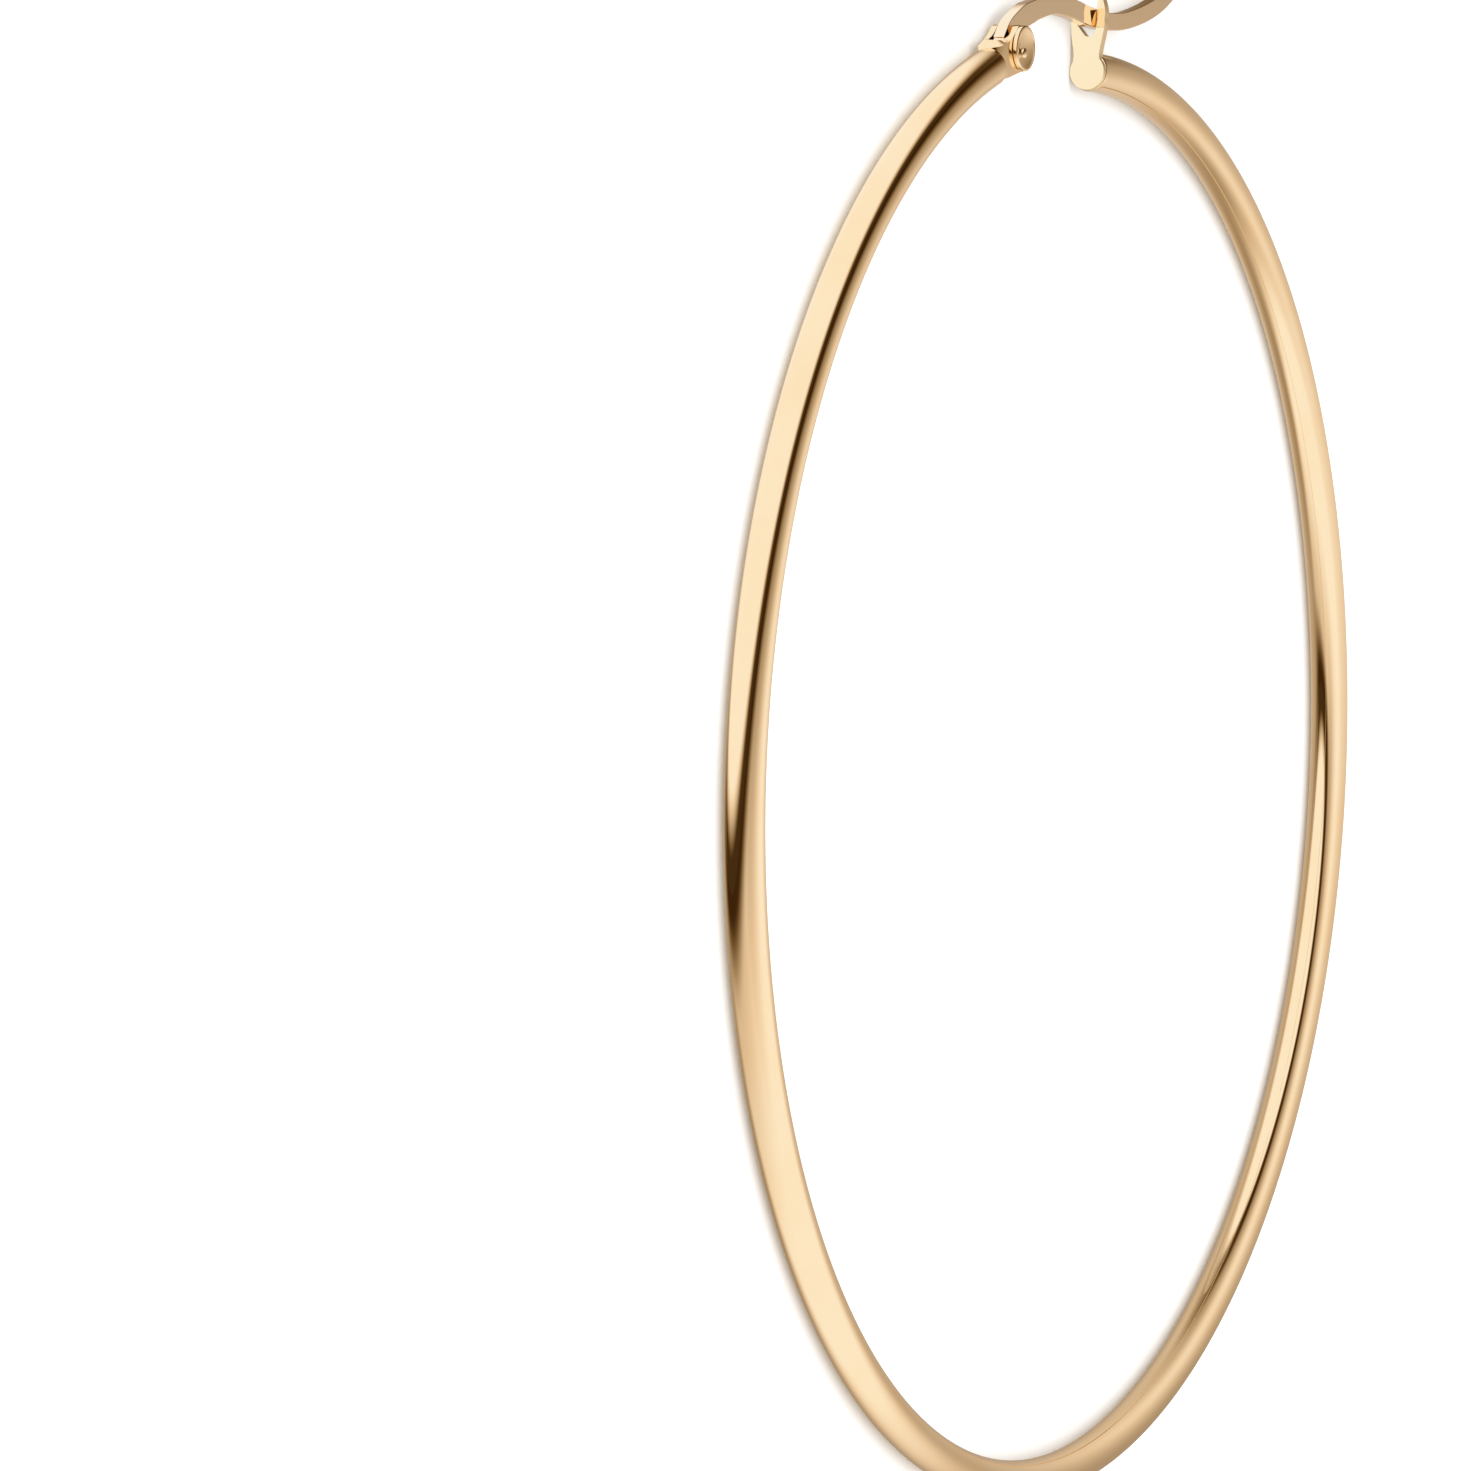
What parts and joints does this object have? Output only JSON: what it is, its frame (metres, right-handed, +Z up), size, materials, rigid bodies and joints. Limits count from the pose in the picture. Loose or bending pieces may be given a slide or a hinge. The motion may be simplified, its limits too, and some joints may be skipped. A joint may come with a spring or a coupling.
{
  "type": "hoop earring",
  "caption": "Large round tube hoop earring with a hinged saddleback latch bar that swings open and rests closed in a forked catch plate.",
  "frame": {"origin": "middle of the bounding box at its base, with the hoop lying flat on its side", "axes": "+Z up through the hoop, +Y from the middle of the hoop to the middle of the ear gap, +X from the hinge to the catch"},
  "size_m": [0.075, 0.077, 0.002],
  "materials": {
    "hoop": "polished yellow gold",
    "hinge_pin": "polished yellow gold",
    "latch_bar": "polished yellow gold"
  },
  "bodies": {
    "hoop": {"hoop": "hoop", "hinge_pin": "hinge_pin"},
    "latch": {"latch_bar": "latch_bar"}
  },
  "joints": [
    {"name": "latch_hinge", "type": "hinge", "parent": "hoop", "child": "latch", "pos_m": [-0.00485, 0.03602, 0.001], "axis": [0, 0, 1], "range_deg": [0, 90]}
  ]
}
